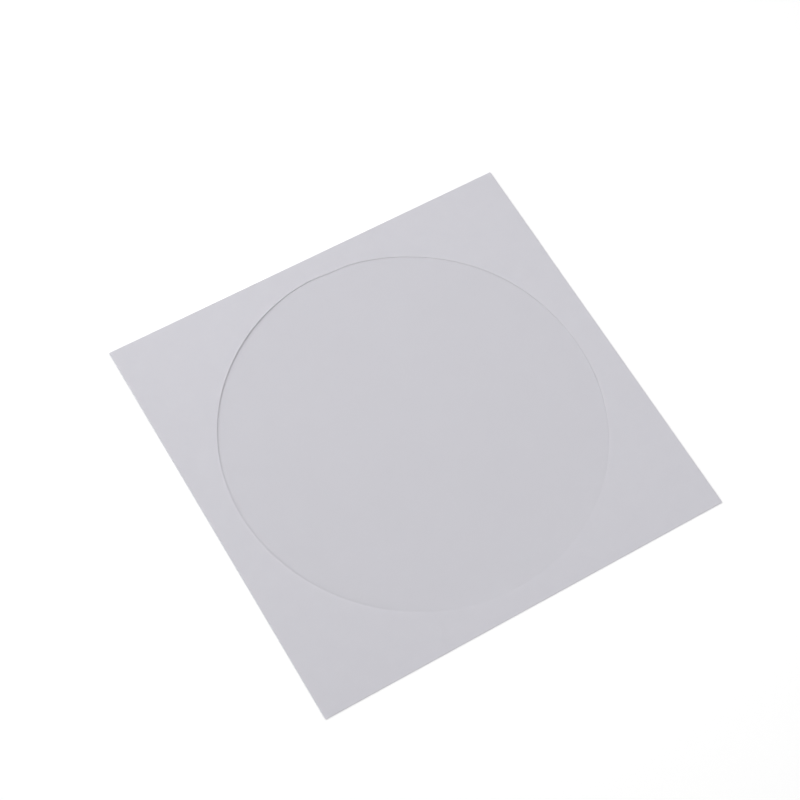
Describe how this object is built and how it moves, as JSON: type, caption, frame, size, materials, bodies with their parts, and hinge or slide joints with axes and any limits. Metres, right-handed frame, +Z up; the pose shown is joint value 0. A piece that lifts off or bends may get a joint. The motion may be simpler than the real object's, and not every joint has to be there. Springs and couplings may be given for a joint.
{
  "type": "window envelope",
  "caption": "Flat paper envelope for a disc: round clear window in the front, glued side seams and a tapered top flap folded shut.",
  "frame": {"origin": "on the surface the envelope lies on, under the middle of its outline", "axes": "+X along the flap's fold, +Y from the bottom fold towards the flap's fold, +Z up out of the window"},
  "size_m": [0.127, 0.123, 0.001],
  "materials": {
    "paper": "uncoated white wove paper, matt, with a slight cool tint",
    "film": "clear glossy film, lying almost flat"
  },
  "bodies": {
    "root": {"envelope_sheet": "paper", "window_film": "film"}
  },
  "joints": []
}
